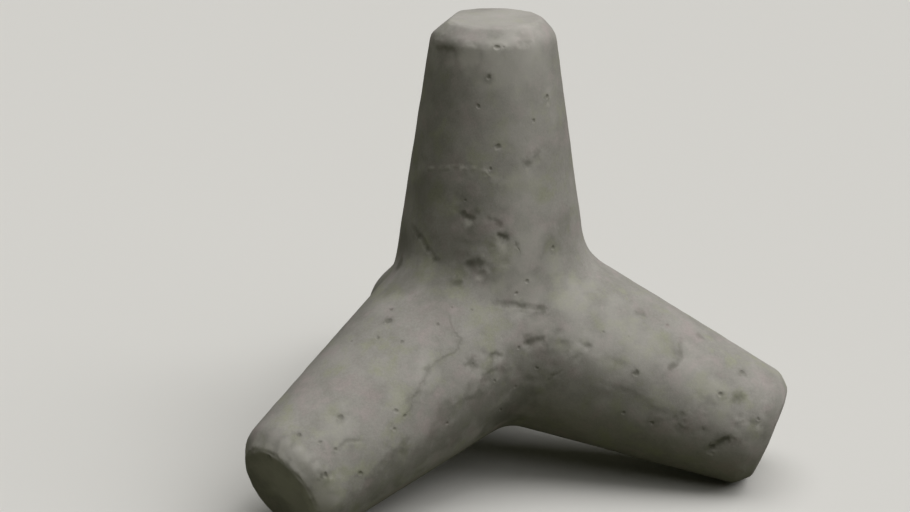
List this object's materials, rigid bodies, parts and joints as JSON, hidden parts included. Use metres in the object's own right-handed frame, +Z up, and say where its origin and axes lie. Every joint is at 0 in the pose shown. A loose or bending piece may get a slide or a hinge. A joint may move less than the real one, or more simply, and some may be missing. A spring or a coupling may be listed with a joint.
{
  "type": "concrete armour block",
  "caption": "Cast concrete breakwater block with equal tapered legs spreading from one middle, standing on a tripod of legs with one upright.",
  "frame": {"origin": "the middle of the block, where the axes of the four legs meet, 0.605 m above the floor it stands on", "axes": "+Z up along the upright leg; one of the three feet points towards +Y and down, the other two towards -Y and down on either side"},
  "size_m": [2.1731, 1.9412, 1.8051],
  "materials": {
    "cast_concrete": "matt weathered cast concrete"
  },
  "bodies": {
    "root": {"armour_block": "cast_concrete"}
  },
  "joints": []
}
